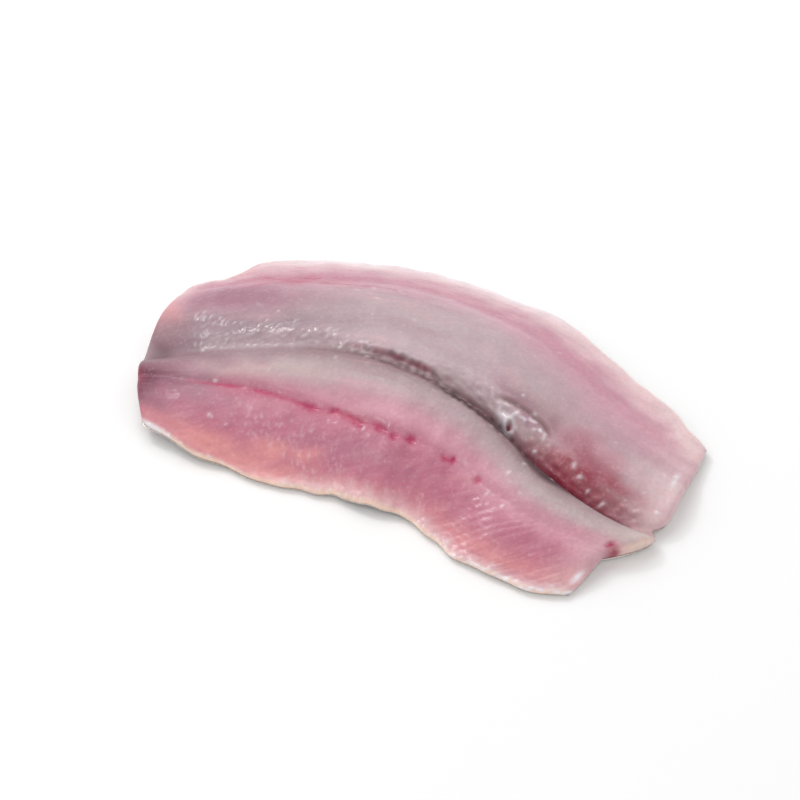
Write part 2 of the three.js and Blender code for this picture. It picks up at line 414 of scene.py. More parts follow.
def wrinkle_crests(place):
    """The short slanting crests of the membrane, 0 to 1, two in the upper row for each in the lower."""
    draw = np.random.default_rng(23)
    total = np.zeros(place.distance.shape)
    for i in range(WRINKLES):
        share = draw.uniform(WRINKLE_START, WRINKLE_END)
        upper = i % 3 > 0
        line = profile(WRINKLE_LINE, share / WRINKLE_END) if upper else 1 + profile(GROOVE_PLACE, share)
        middle = line + draw.normal(0, 0.8 if upper else 0.5)
        turn, length = draw.uniform(*WRINKLE_TURNS), draw.uniform(*WRINKLE_LENGTHS)
        close, crest = stroke(place, share, middle, turn, length, draw.uniform(*STROKE_WIDTHS))
        strength = draw.uniform(0.4, 1) * (1 if upper else 0.6)
        total[close] = np.maximum(total[close], strength * crest)
    return total


def wet_wrinkles(place):
    knots = fine_ripples(place, 1.7, seed=11, squeeze=1.3)
    return KNOT_HEIGHT * wrinkle_rows(place) * knots + WRINKLE_HEIGHT * wrinkle_crests(place)


# Cut fibres stand up on the near flap, in a belt that slants to the edge: where it starts, how far it runs
# and how far the fibres scatter, along and across.
FIBRES = 110
FIBRE_BELT = {"start": (0.19, -0.58), "run": (0.22, -0.3), "scatter": (0.025, 0.08)}
FIBRE_TURNS = (1.2, 1.9)
FIBRE_LENGTHS = (0.3, 0.8)
FIBRE_HEIGHT = 0.055


def cut_fibres(place):
    """Short strokes, 0 to 1, raised in the relief and also painted light as glints."""
    draw = np.random.default_rng(43)
    start, run, scatter = FIBRE_BELT["start"], FIBRE_BELT["run"], FIBRE_BELT["scatter"]
    total = np.zeros(place.distance.shape)
    for _ in range(FIBRES):
        along_belt = draw.uniform(0, 1)
        share = start[0] + run[0] * along_belt + draw.normal(0, scatter[0])
        across = start[1] + run[1] * along_belt + draw.normal(0, scatter[1])
        middle = across * profile(NEAR_WIDTH, share)
        turn, length = draw.uniform(*FIBRE_TURNS), draw.uniform(*FIBRE_LENGTHS)
        close, fibre = stroke(place, share, middle, turn, length, draw.uniform(*STROKE_WIDTHS))
        total[close] = np.maximum(total[close], draw.uniform(0.2, 1) * fibre)
    return total


# Towards the head the groove is an open slit under its near lip, with a far wall that is ragged where the
# backbone was pulled out. Nearer the tail the far loin ends over it in a thin torn edge.
SLIT_DEPTH = 1.1
NEAR_LIP_HEIGHT = 0.3
WALL_ROUGHNESS = 0.22
TORN_EDGE_PLACE = 1.4
TORN_EDGE_WANDER = 0.45
TORN_EDGE_HEIGHT = 0.24
TORN_EDGE_UNDERCUT = 0.32
SHRED_HEIGHT = 0.14
GROOVE_END_HEIGHT = 1.1


def groove_opening(place):
    return between(place.share, (0.5, 0.6), (0.93, 1))


def open_slit(place):
    deep = from_groove(place)
    near_lip = NEAR_LIP_HEIGHT * bell(deep, -2, 0.8)
    slit = SLIT_DEPTH * bell(deep, -0.3, 0.65)
    wall = WALL_ROUGHNESS * bell(deep, 2, 2) * fine_ripples(place, 2.4, seed=13, squeeze=1.4)
    return groove_opening(place) * (near_lip - slit + wall)


def torn_edge(place):
    deep = from_groove(place)
    torn = TORN_EDGE_PLACE + TORN_EDGE_WANDER * ripples(place, 3, seed=14, squeeze=0.5)
    edge = TORN_EDGE_HEIGHT * bell(deep, torn + 0.6, 0.6) - TORN_EDGE_UNDERCUT * bell(deep, torn - 0.3, 0.5)
    shreds = SHRED_HEIGHT * bell(deep, 0.3, 1.2) * fine_ripples(place, 1.5, seed=44, squeeze=1.4)
    return between(place.share, (0.34, 0.42), (0.52, 0.58)) * (edge + shreds)


def groove_end(place):
    """The groove runs out just before the cut at the head end."""
    return GROOVE_END_HEIGHT * bell(from_groove(place), -0.5, 1.3) * ease(place.share, 0.9, 0.97)


# A pale torn scrap stands up in the groove, with a ringed pit in it and a fold of flesh behind it. Its place
# is a share of the midline and a distance out, and the pit's is a distance along and out from there.
SCRAP_PLACE = (0.668, -0.6)
SCRAP_SIZE = (2.2, 0.9)
SCRAP_HEIGHT = 0.7
PIT_PLACE = (1.6, -0.1)
PIT_DEPTH = 1.5
PIT_RADIUS = 0.6
PIT_RING_RADIUS = 1.05
FOLD_START = 0.622
FOLD_LENGTH = 0.133
FOLD_LINE = [0.5, 1.8, 2.8, 3.7, 4.3, 4.4, 3.9]
FOLD_DEPTH = 0.35
FOLD_RIDGE_HEIGHT = 0.3
FOLD_RIDGE_PLACE = -1.6


def on_scrap(place):
    """How much of the scrap there is, how far along from its middle, and the distance from the pit."""
    a, b = place.distance - SCRAP_PLACE[0] * MIDLINE_LENGTH, place.out - SCRAP_PLACE[1]
    return mound(a, b, *SCRAP_SIZE), a, np.hypot(a - PIT_PLACE[0], b - PIT_PLACE[1])


def on_fold(place):
    """How much of the fold there is, and how far out from its bottom."""
    along = (place.share - FOLD_START) / FOLD_LENGTH
    return between(along, (0, 0.3), (0.85, 1.05)), place.out - profile(FOLD_LINE, along)


def torn_scrap(place):
    scrap, along, from_pit = on_scrap(place)
    ring = (0.5 - 0.3 * ease(along, 1, 2.6)) * bell(from_pit, PIT_RING_RADIUS, 0.4)
    pit = PIT_DEPTH * bell(from_pit, 0, PIT_RADIUS)
    fold, from_fold = on_fold(place)
    crease = FOLD_DEPTH * bell(from_fold, 0, 0.45)
    ridges = FOLD_RIDGE_HEIGHT * (bell(from_fold, 1, 1) + bell(from_fold, FOLD_RIDGE_PLACE, 0.9))
    return SCRAP_HEIGHT * scrap + ring - pit + fold * (ridges - crease)


# Small bleeding tears along the near blood line: how far along and across, and how long.
NICKS = [
    (0.304, -0.477, 1.7), (0.35, -0.49, 1.2), (0.37, -0.505, 1.3), (0.39, -0.522, 1.8),
    (0.409, -0.545, 1.5), (0.46, -0.545, 2.3), (0.497, -0.573, 1.1), (0.535, -0.547, 1.4),
    (0.621, -0.537, 1.1), (0.637, -0.512, 0.9), (0.703, -0.487, 0.8), (0.942, -0.4, 0.6),
]
NICK_DEPTH = 0.3
NICK_WIDTH = 0.7


def on_nicks(place):
    """1 in each small tear, fading out around it."""
    ragged = 0.3 * ripples(place, 1.8, seed=12)
    total = 0
    for share, across, length in NICKS:
        a, b = place.distance - share * MIDLINE_LENGTH, (place.across - across) * place.width
        total = total + 1.3 * mound(a - 0.4 * b, b + 0.3 * a + ragged, length, NICK_WIDTH)
    return np.clip(total, 0, 1)


def bleeding_nicks(place):
    return -NICK_DEPTH * on_nicks(place)


# The cut belly edges swell a little, the near one is scalloped towards the head and curls up at its tail
# corner, and the knife left uneven layers in both ends.
EDGE_SWELL = 0.25
SCALLOP_HEIGHT = 0.12
LAYER_HEIGHT = {"tail": 0.04, "head": 0.18}
LAYER_REACH = 2.2


def belly_edge(place):
    inward = place.inward["edge"]
    swell = EDGE_SWELL * bell(inward, 1.2, 0.9) * (0.7 + 0.6 * ripples(place, 7, seed=15, squeeze=0))
    corner = mound(place.distance - 5, inward, 3.5, 2.5)
    scallops = bell(inward, 0.8, 0.7) * fine_ripples(place, 1.7, seed=48, squeeze=0.3)
    return swell + np.where(place.far, 0, corner + SCALLOP_HEIGHT * scallops * ease(place.share, 0.55, 0.7))


def cut_ends(place):
    layered = sum(height * bell(place.inward[end], 0, LAYER_REACH) for end, height in LAYER_HEIGHT.items())
    return layered * wave_field(place.out, place.distance * 0.3, 3.1, seed=17, waves=22)


# Beads of water and fat that catch the light, and are painted white, partly as painted glints: the large
# ones, as how far along and across and how wide, and the number of tiny ones, whose places, widths and
# heights fall by chance within these spans.
LARGE_BEADS = [
    (0.812, 0.072, 0.38), (0.831, 0.047, 0.34), (0.855, 0.013, 0.26), (0.887, -0.005, 0.34),
    (0.742, -0.303, 0.3), (0.669, 0.165, 0.26), (0.743, -0.005, 0.3), (0.964, 0.478, 0.4),
    (0.972, 0.105, 0.36), (0.139, -0.328, 0.26), (0.11, -0.002, 0.26), (0.422, -0.568, 0.34),
    (0.735, -0.508, 0.3), (0.773, -0.51, 0.3),
]
LARGE_BEAD_HEIGHT = 0.15
TINY_BEADS = 60
TINY_BEAD_PLACES = ((0.12, 0.97), (-0.95, 0.75))
TINY_BEAD_WIDTHS = (0.2, 0.32)
TINY_BEAD_HEIGHTS = (0.02, 0.13)
BEAD_LENGTHENING = 1.6


def wet_beads(place):
    draw = np.random.default_rng(21)
    beads = [(share, across, size, LARGE_BEAD_HEIGHT) for share, across, size in LARGE_BEADS]
    for _ in range(TINY_BEADS):
        share, across = (draw.uniform(*span) for span in TINY_BEAD_PLACES)
        beads.append((share, across, draw.uniform(*TINY_BEAD_WIDTHS), draw.uniform(*TINY_BEAD_HEIGHTS)))
    total = np.zeros(place.distance.shape)
    for share, across, size, height in beads:
        middle = across * profile(FAR_WIDTH if across > 0 else NEAR_WIDTH, share)
        turn = draw.uniform(0, 3)
        close, bead = stroke(place, share, middle, turn, size * BEAD_LENGTHENING, size)
        total[close] += height * bead
    return total


RELIEF = (
    plain_relief, muscle_bands, soft_lumps, wet_wrinkles, open_slit, torn_edge, groove_end, torn_scrap,
    bleeding_nicks, belly_edge, cut_ends, wet_beads,
)


def flesh_relief(place):
    return sum(feature(place) for feature in RELIEF) + FIBRE_HEIGHT * cut_fibres(place)


# The colours of the flesh lie in patches that fade into each other: how far along and across each patch is,
# how far it spreads both ways, and how strong it is.
BLUSH = [
    (0.26, 0.61, 0.09, 0.06, 1), (0.5, 0.72, 0.3, 0.07, 0.15), (0.81, 0.24, 0.08, 0.16, 0.45),
    (0.2, -0.41, 0.05, 0.035, 0.5), (0.31, -0.5, 0.04, 0.035, 0.8), (0.98, 0.12, 0.035, 0.12, 0.4),
]
ROSE = [(0.52, -0.44, 0.24, 0.09, 0.9), (0.85, -0.47, 0.13, 0.1, 0.6), (0.98, -0.45, 0.06, 0.18, 0.5)]
PEACH = [
    (0.13, -0.84, 0.08, 0.1, 1), (0.235, -0.76, 0.035, 0.06, 0.9), (0.305, -0.78, 0.03, 0.05, 0.8),
    (0.22, -0.94, 0.15, 0.09, 0.8), (0.5, -0.95, 0.2, 0.07, 0.6), (0.8, -0.86, 0.17, 0.1, 0.7),
    (0.97, -0.85, 0.07, 0.14, 0.6), (0.03, 0.45, 0.025, 0.25, 0.6), (0.14, 0.9, 0.04, 0.12, 0.8),
]
# The mauve patch at 0.68 along, on the fold, is painted shade.
MAUVE = [
    (0.14, 0.5, 0.08, 0.12, 0.9), (0.2, 0.35, 0.12, 0.13, 0.8), (0.42, -0.72, 0.14, 0.07, 0.4),
    (0.1, -0.3, 0.05, 0.14, 0.9), (0.1, -0.45, 0.06, 0.14, 0.6), (0.03, -0.75, 0.05, 0.15, 0.8),
    (0.68, 0.11, 0.07, 0.07, 0.7), (0.21, -0.4, 0.05, 0.05, 0.5),
]
WINE = [(0.035, -0.39, 0.045, 0.24, 1), (0, -0.7, 0.03, 0.2, 0.6)]
DULL = [
    (0.17, 0.17, 0.16, 0.13, 1), (0.04, 0.15, 0.05, 0.18, 1), (0.08, -0.1, 0.08, 0.12, 1),
    (0.3, -0.1, 0.14, 0.06, 0.5), (0.27, 0.09, 0.1, 0.08, 0.4), (0.41, -0.17, 0.05, 0.06, 0.4),
]
# Dark patches: one by the groove at the tail end, and one of painted shade where the near lip turns down into
# the slit.
DARK = [(0.03, 0.02, 0.025, 0.12, 0.4), (0.785, -0.12, 0.03, 0.055, 0.8)]
# The last crimson patch, in the recess between the near flap's cut and the tongue, is partly blood and partly
# painted shade.
CRIMSON = [
    (0.01, -0.42, 0.02, 0.12, 0.5), (0.85, 0.13, 0.065, 0.1, 0.7), (0.91, 0.11, 0.04, 0.08, 0.4),
    (0.78, 0.2, 0.05, 0.12, 0.2), (0.948, -0.46, 0.014, 0.06, 1.3),
]
CREAM = [
    (0.725, 0.03, 0.045, 0.03, 0.6), (0.97, -0.2, 0.04, 0.15, 0.8), (0.25, -0.24, 0.16, 0.07, 0.6),
    (0.85, -0.27, 0.1, 0.07, 0.5),
]


def in_patches(place, patches):
    """How much of a colour lies at each place. The edges of the patches wander."""
    share = place.share + 0.012 * ripples(place, 8, seed=31)
    across = place.across + 0.02 * ripples(place, 7, seed=32)
    total = 0
    for at, at_across, spread, spread_across, strength in patches:
        total = total + strength * mound(share - at, across - at_across, spread, spread_across)
    return np.clip(total, 0, 1)


# The two loins are greyer than the flaps, out to the blood line on the near side, and the belly edges and the
# cut ends are paler.
FAR_GREY_START = [0.05, 0.2, 0.3, 0.35, 0.3, 0.25, 0.3]
FAR_GREY_END = 0.68
NEAR_GREY_FADE = 0.3
NEAR_PALE_START = [0.96, 0.95, 0.85, 0.84, 0.84, 0.86, 0.84]
FAR_PALE_START = (0.7, 0.96)


def grey_loins(place):
    across = place.across + 0.018 * ripples(place, 9, seed=33)
    near_end = blood_line_of(place) + 0.06 * ease(place.share, 0.72, 0.8)
    near = 1 - ease(-across, near_end - NEAR_GREY_FADE, near_end)
    far = 1 - ease(across, profile(FAR_GREY_START, place.share), FAR_GREY_END)
    return near * far


def pale_margins(place):
    far = ease(place.across + 0.04 * ripples(place, 7, seed=34), *FAR_PALE_START)
    far = far * (1 - 0.9 * bell(place.share, 0.15, 0.03))
    near_start = profile(NEAR_PALE_START, place.share)
    near = 0.7 * ease(-place.across + 0.02 * ripples(place, 5, seed=35), near_start, 1)
    head_reach = np.where(place.far, 17, 9)
    head_cut = np.where(place.far, 0.75, 0.45) * (1 - ease(place.inward["head"], 0, head_reach))
    tail_cut = 0.85 * (1 - ease(place.inward["tail"], 1, 7)) * ease(place.across, 0.25, 0.7)
    return np.clip(far + near + head_cut + np.where(place.far, tail_cut, 0), 0, 1)


# Blood lies in a thin line and a stain along the near blood line, in a thread between the nicks there, and in
# a thin line on the far flap, whose distance out is listed.
BLOOD_LINE_HALF_WIDTH = 0.45
FAR_LINE_START = 0.18
FAR_LINE_LENGTH = 0.21
FAR_LINE = [22.3, 20, 18.6, 18.4, 19]
FAR_LINE_HALF_WIDTH = 0.35


def blood(place):
    beside = from_blood_line(place)
    broken = 0.75 + 0.35 * ripples(place, 3, seed=36)
    line = bell(beside, 0, BLOOD_LINE_HALF_WIDTH) * between(place.share, (0.06, 0.13), (0.27, 0.33))
    stain = 0.25 * bell(beside, 0.7, 1.5) * between(place.share, (0.08, 0.2), (0.45, 0.7))
    shares, acrosses, _ = zip(*NICKS)
    beside_thread = (place.across - np.interp(place.share, shares, acrosses)) * place.width
    thread = bell(beside_thread + 0.3 * ripples(place, 2, seed=46), 0, BLOOD_LINE_HALF_WIDTH)
    thread = thread * broken * between(place.share, (0.34, 0.37), (0.5, 0.56))
    near = line * broken + 0.6 * thread + on_nicks(place) + stain
    far_place = profile(FAR_LINE, (place.share - FAR_LINE_START) / FAR_LINE_LENGTH)
    far_line = bell(place.out, far_place, FAR_LINE_HALF_WIDTH)
    far_line = far_line * between(place.share, (FAR_LINE_START, 0.22), (0.36, 0.45))
    return np.where(place.far, 0.6 * far_line * broken, np.clip(near, 0, 1))


# Painted shade makes the slit nearly black, the more so towards the head. The painted shade keeps under the
# near lip where that hangs over most, and spreads over the far wall where the slit is wider: where each is,
# its reach and its size.
SLIT_DARKNESS = [0, 0, 0, 0.1, 0.5, 0.55, 0.85, 0.95, 1, 0.2, 0]
LIP_OVERHANGS = [(0.61, 0.07, 1.6), (0.79, 0.07, 2.9)]
WIDER_PLACES = [(0.78, 0.06, 0.9), (0.65, 0.05, 0.6), (0.46, 0.08, 2)]
NEAR_SHADE_LIMIT = -1.7
RAGGED_LINE_PLACE = -2.2


def slit_shade(place):
    """How much painted shade darkens the slit, and the ragged line of painted shade along its near lip."""
    deep = from_groove(place)
    patchy = np.clip(0.65 + 0.6 * fine_ripples(place, 1.8, seed=39), 0, 1)
    darkness = profile(SLIT_DARKNESS, place.share) * blend(patchy, 1, ease(place.share, 0.6, 0.68))
    overhang = swells(place.share, LIP_OVERHANGS)
    near_limit = NEAR_SHADE_LIMIT - overhang
    softness = 0.8 + 1.2 * bell(place.share, 0.79, 0.08)
    teeth = 0.35 * ripples(place, 4, seed=37, squeeze=0) + 0.25 * fine_ripples(place, 1.3, seed=49)
    far_limit = teeth + swells(place.share, WIDER_PLACES) - 0.6 * overhang
    inside = ease(deep, near_limit, near_limit + softness) - ease(deep, far_limit - 0.2, far_limit + 0.8)
    ragged = bell(deep + 0.4 * fine_ripples(place, 1.6, seed=47), RAGGED_LINE_PLACE, 0.5)
    ragged = 0.85 * ragged * between(place.share, (0.5, 0.57), (0.66, 0.72))
    return np.clip(darkness * inside + ragged, 0, 1)


# Painted shade, a brownish grey, lies beside the slit and in the fold.
HALO_PLACE = -0.8
NEAR_HALO = [0, 0.17, 0.26, 0.47, 0.68, 0.68, 0.72, 0.95, 0.95, 0.5, 0]
FAR_HALO = [0, 0.17, 0.26, 0.47, 0.68, 0.68, 0.68, 0.47, 0.34, 0.17, 0]
NEAR_HALO_REACH = 4.2
FAR_HALO_REACH = 2.2


def slit_and_fold_shade(place):
    deep = from_groove(place)
    near_reach = NEAR_HALO_REACH + 0.8 * bell(place.share, 0.77, 0.1)
    near_halo = profile(NEAR_HALO, place.share) * bell(deep, HALO_PLACE, near_reach)
    far_halo = profile(FAR_HALO, place.share) * bell(deep, HALO_PLACE, FAR_HALO_REACH)
    fold, from_fold = on_fold(place)
    in_fold = fold * (bell(from_fold, 0, 0.45) + 0.4 * bell(from_fold, 2, 2.4))
    return np.clip(np.where(deep < HALO_PLACE, near_halo, far_halo) + in_fold, 0, 1)


# The torn edge is a thin line of dried blood. The far wall of the groove is blood red at its head end, and
# so is the pit in the scrap.
WALL_REDNESS = [0, 0, 0, 0, 0, 0, 0.1, 0.3, 0.9, 0.7, 0.15]
WALL_REACH = [1, 1, 1, 1, 1, 1, 1, 1.8, 5, 4.4, 1.5]


def torn_edge_blood(place):
    patchy = np.clip(0.6 + 0.6 * ripples(place, 5, seed=40), 0, 1)
    on_edge = between(place.share, (0.35, 0.4), (0.48, 0.58))
    return 0.7 * on_edge * patchy * bell(from_groove(place), TORN_EDGE_PLACE, 0.5)


def wall_blood(place):
    deep = from_groove(place)
    reach = profile(WALL_REACH, place.share) + 0.5 * ripples(place, 6, seed=38)
    wall = profile(WALL_REDNESS, place.share) * (ease(deep, -1.4, -0.4) - ease(deep, reach - 2, reach + 2.2))
    _, _, from_pit = on_scrap(place)
    return wall + 0.9 * bell(from_pit, 0, 0.65)


# White membrane lies on the scrap. Painted glints and highlights make the rest of the white: on the wrinkle
# crests, the cut fibres and the ridge behind the scrap, round the pit, in bits along the edges, and on the
# beads, whose white is partly fat.
NEAR_EDGE_GLINTS = [1, 0.3, 0.5, 0.6, 0.3, 0.8, 1.6, 1.6]


def scrap_white_and_glints(place, glints):
    """White membrane on the scrap, a painted highlight round its pit, painted glints along the fold's ridge.
    """
    scrap, _, from_pit = on_scrap(place)
    ringed = (0.7 * scrap + 0.45 * bell(from_pit, 1, 0.45)) * (1 - bell(from_pit, 0, 0.75))
    fold, from_fold = on_fold(place)
    return ringed + 0.8 * fold * bell(from_fold, FOLD_RIDGE_PLACE, 0.8) * glints


def painted_edge_glints(place, glints):
    """Painted glints and highlights along both belly edges, in the curled tail corner, and across the cuts at
    the head end.
    """
    edge, head = place.inward["edge"], place.inward["head"]
    edge_glint_strength = glints * profile(NEAR_EDGE_GLINTS, place.share) + 0.3 * ease(place.share, 0.68, 0.8)
    near_edge = bell(edge, 0.6, 0.6) * edge_glint_strength
    tail_corner = mound(place.distance - 6, edge - 0.4, 3, 0.8)
    near_cut = bell(head, 1, 0.5) * bell(place.across, -0.8, 0.07)
    far_edge = 0.85 * ease(place.across, 0.86, 1) * between(place.share, (0.15, 0.3), (0.6, 0.7))
    far_cut = 0.7 * bell(head, 3.4, 0.6) * bell(place.across, 0.45, 0.09)
    thin_edge = 0.7 * bell(edge, 0.5, 0.5) * ease(place.share, 0.5, 0.7)
    return np.where(place.far, far_edge + far_cut + thin_edge, near_edge + tail_corner + near_cut)


def white_and_painted_glints(place):
    glints = np.clip(fine_ripples(place, 1.6, seed=41), 0, 1)
    # Painted glints on the wrinkle crests and cut fibres. The beads' white is partly fat and partly painted
    # glints.
    strokes = 0.4 * wrinkle_crests(place) + 0.22 * cut_fibres(place)
    patches = scrap_white_and_glints(place, glints) + painted_edge_glints(place, glints)
    return np.clip(strokes + patches + 4 * wet_beads(place), 0, 1)


def cut_lines(place):
    """Thin coloured lines where the knife went through: across the far lobe's head and tail ends."""
    head = np.where(place.far, 0.9 * bell(place.inward["head"], 0.3, 1), 0)
    tail = 0.7 * bell(place.inward["tail"], 0.8, 1.3) * ease(place.across, 0.15, 0.4)
    return head, np.where(place.far, tail, 0)


def fat_rim(place):
    """Cream fat along both belly edges and on the rim of the tongue."""
    belly = np.where(place.far, 0.55, 1) * bell(place.inward["edge"], 0.3, 0.7)
    tongue = 0.6 * bell(place.inward["head"], 0.3, 0.8)
    tongue = tongue * ease(-place.across, 0.1, 0.2) * ease(place.across, -0.45, -0.36)
    return np.maximum(belly, tongue)


def wetness(place):
    """The membrane and the far wall of the slit are the wettest."""
    wall = 0.6 * bell(from_groove(place), 3, 2.5) * groove_opening(place)
    return np.clip(wrinkle_rows(place) + wall, 0, 1)


def sheet_faces(numbers):
    """Four-cornered faces of a sheet whose points are numbered in rows."""
    corners = [numbers[:-1, :-1], numbers[1:, :-1], numbers[1:, 1:], numbers[:-1, 1:]]
    return np.stack(corners, -1).reshape(-1, 4).tolist()


def coarse_faces(numbers, step):
    """Faces of "step" cells each way, turned over. At the outline they take in every point between their
    corners; a number of -1 means that there is no point."""
    rows, columns = numbers.shape
    faces = []
    for i in range(0, rows - 1, step):
        for j in range(0, columns - 1, step):
            ring = [numbers[i, j + k] for k in range(step)]
            ring += [numbers[i + k, j + step] for k in range(step)]
            ring += [numbers[i + step, j + step - k] for k in range(step)]
            ring += [numbers[i + step - k, j] for k in range(step)]
            faces.append([int(corner) for corner in ring if corner >= 0])
    return faces


def closed_mesh(name, upper, lower, marks):
    """A closed mesh between two sheets that meet at the outline, with marks on its points. The lower sheet
    may be coarser."""
    step = (upper.shape[0] - 1) // (lower.shape[0] - 1)
    top = np.arange(upper[..., 0].size).reshape(upper.shape[:2])
    bottom = np.full(top.shape, -1)
    bottom[::step, ::step] = np.arange(lower[..., 0].size).reshape(lower.shape[:2]) + top.size
    for line in (np.s_[0], np.s_[-1], np.s_[:, 0], np.s_[:, -1]):
        bottom[line] = top[line]
    faces = sheet_faces(top) + coarse_faces(bottom, step)
    points = np.concatenate([upper.reshape(-1, 3), lower.reshape(-1, 3)])
    used = np.zeros(len(points), bool)
    for corners in faces:
        used[corners] = True
    number = np.cumsum(used) - 1
    faces = [[int(number[corner]) for corner in corners] for corners in faces]
    mesh = bpy.data.meshes.new(name)
    mesh.from_pydata(points[used].tolist(), [], faces)
    for mark, values in marks.items():
        both_sheets = np.concatenate([values.reshape(-1), values[::step, ::step].reshape(-1)])[used]
        attribute = mesh.attributes.new(mark, "FLOAT", "POINT")
        attribute.data.foreach_set("value", both_sheets.astype(np.float32))
    mesh.polygons.foreach_set("use_smooth", [True] * len(faces))
    mesh.update()
    piece = bpy.data.objects.new(name, mesh)
    bpy.context.scene.collection.objects.link(piece)
    return piece


# The flesh is one closed mesh, from the cut upper face down to the skin. It has shrunk a little from the
# skin's cut edge.
FLESH_CELLS = (360, 190)
SKIN_THICKNESS = 0.3
SHRINKAGE = {"near": [0.4, 0.3, 0.2, 0.15, 0.1, 0.1, 0.1], "far": 0.2}

flesh_along, flesh_across = grid(*FLESH_CELLS)
shrinkage = np.where(flesh_across > 0, SHRINKAGE["far"], profile(SHRINKAGE["near"], flesh_along))
muscle = lay_out(flesh_along, flesh_across, grow=-shrinkage)
head_line, tail_line = cut_lines(muscle)
red_line = wall_blood(muscle) + torn_edge_blood(muscle)
flesh_marks = {
    "far": ease(muscle.across, -0.05, 0.15),
    "grey": grey_loins(muscle),
    "dull": in_patches(muscle, DULL),
    "mauve": in_patches(muscle, MAUVE),
    "wine": in_patches(muscle, WINE),
    "rose": in_patches(muscle, ROSE),
    "blush": np.maximum(in_patches(muscle, BLUSH), head_line),
    "peach": np.maximum(in_patches(muscle, PEACH), tail_line),
    "pale": pale_margins(muscle),
    "cream": in_patches(muscle, CREAM),
    "brown": slit_and_fold_shade(muscle),
    "blood": blood(muscle),
    "crimson": np.maximum(in_patches(muscle, CRIMSON), red_line),
    "dark": np.maximum(in_patches(muscle, DARK), slit_shade(muscle)),
    "rim": fat_rim(muscle),
    "white": white_and_painted_glints(muscle),
    "wet": wetness(muscle),
    "uneven": unevenness(muscle),
    "banding": banding(muscle),
    "band": band_place(muscle) * MM,
    "along": muscle.distance * MM,
}
flesh_upper = settle(face(muscle, flesh_relief(muscle)))
flesh_lower = settle(face(muscle, SKIN_THICKNESS - muscle.depth))[::2, ::2]
flesh = closed_mesh("flesh", flesh_upper, flesh_lower, flesh_marks)
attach(flesh, "root")
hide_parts("fillet")


class Finish:
    """A material, and short ways to wire its nodes."""

    def __init__(self, name):
        self.material = bpy.data.materials.new(name)
        self.material.use_nodes = True
        self.nodes, self.links = self.material.node_tree.nodes, self.material.node_tree.links
        self.shader = self.nodes["Principled BSDF"]

    def put(self, value, socket):
        if isinstance(value, bpy.types.NodeSocket):
            self.links.new(value, socket)
        else:
            socket.default_value = value

    def node(self, kind, inputs, **settings):
        made = self.nodes.new(kind)
        for name, value in settings.items():
            setattr(made, name, value)
        for name, value in inputs.items():
            self.put(value, made.inputs[name])
        return made

    def place(self):
        """Where each point is on the piece itself."""
        return self.node("ShaderNodeTexCoord", {}).outputs["Object"]

    def mark(self, name):
        return self.node("ShaderNodeAttribute", {}, attribute_name=name).outputs["Fac"]

    def times(self, a, b):
        return self.node("ShaderNodeMath", {0: a, 1: b}, operation="MULTIPLY").outputs[0]

    def noise(self, where, scale, detail=2.0, roughness=0.5):
        inputs = {"Vector": where, "Scale": scale, "Detail": detail, "Roughness": roughness}
        return self.node("ShaderNodeTexNoise", inputs).outputs["Fac"]

    def spread(self, value, low_high, to=(0.0, 1.0)):
        """A value taken smoothly from one range to another."""
        ranges = {"From Min": low_high[0], "From Max": low_high[1], "To Min": to[0], "To Max": to[1]}
        made = self.node("ShaderNodeMapRange", {"Value": value, **ranges}, interpolation_type="SMOOTHSTEP")
        return made.outputs["Result"]

    def mix(self, share, a, b, way="MIX"):
        """Colours a and b mixed; sockets 0, 6 and 7 are the share and the two colours."""
        made = self.node("ShaderNodeMix", {}, data_type="RGBA", blend_type=way)
        for socket, value in ((0, share), (6, a), (7, b)):
            self.put(value, made.inputs[socket])
        return made.outputs[2]

    def bump(self, height, depth, under=None):
        made = self.node("ShaderNodeBump", {"Height": height, "Distance": depth, "Strength": 1.0})
        if under is not None:
            self.put(under, made.inputs["Normal"])
        return made.outputs["Normal"]

    def feed(self, values):
        """Sets or links the shader's own inputs."""
        for name, value in values.items():
            self.put(value, self.shader.inputs[name])


# The lobes' own colours, and the coats laid over them in this order, each where the mark of its name is. The
# brown is painted shade, the dark is mostly painted shade, and the white is mostly painted glints and
# highlights.
NEAR_TINT = (0.45, 0.128, 0.2, 1)
FAR_TINT = (0.56, 0.29, 0.36, 1)
COATS = {
    "grey": (0.47, 0.36, 0.385, 1),
    "dull": (0.27, 0.175, 0.205, 1),
    "mauve": (0.34, 0.15, 0.21, 1),
    "wine": (0.13, 0.03, 0.06, 1),
    "rose": (0.62, 0.3, 0.37, 1),
    "blush": (0.43, 0.09, 0.165, 1),
    "peach": (0.69, 0.265, 0.265, 1),
    "pale": (0.76, 0.56, 0.57, 1),
    "cream": (0.6, 0.5, 0.47, 1),
    "brown": (0.22, 0.13, 0.13, 1),
    "blood": (0.42, 0.008, 0.085, 1),
    "crimson": (0.29, 0.012, 0.04, 1),
    "dark": (0.05, 0.018, 0.024, 1),
    "rim": (0.9, 0.66, 0.52, 1),
    "white": (0.88, 0.84, 0.88, 1),
}

# The grain's colours: of the bands' ridges and valleys, of broad swaths along them, and of fine flecks.
RIDGES = (0.74, 0.4, 0.38, 1)
VALLEYS = (0.38, 0.1, 0.17, 1)
LIGHT_SWATHS = (0.7, 0.36, 0.4, 1)
DARK_SWATHS = (0.36, 0.12, 0.2, 1)
LIGHT_FLECKS = (0.84, 0.66, 0.71, 1)
DARK_FLECKS = (0.33, 0.13, 0.19, 1)

BAND_BUMP = 0.1 * MM
GRAIN_BUMP = 0.05 * MM
FILM_BUMP = 0.06 * MM


def band_noise(finish, across, along, detail, roughness):
    """Noise drawn out along the muscle bands, with its scales across and along them."""
    x = finish.times(finish.mark("band"), across)
    y = finish.times(finish.mark("along"), along)
    where = finish.node("ShaderNodeCombineXYZ", {"X": x, "Y": y}).outputs["Vector"]
    return finish.noise(where, 1.0, detail, roughness)


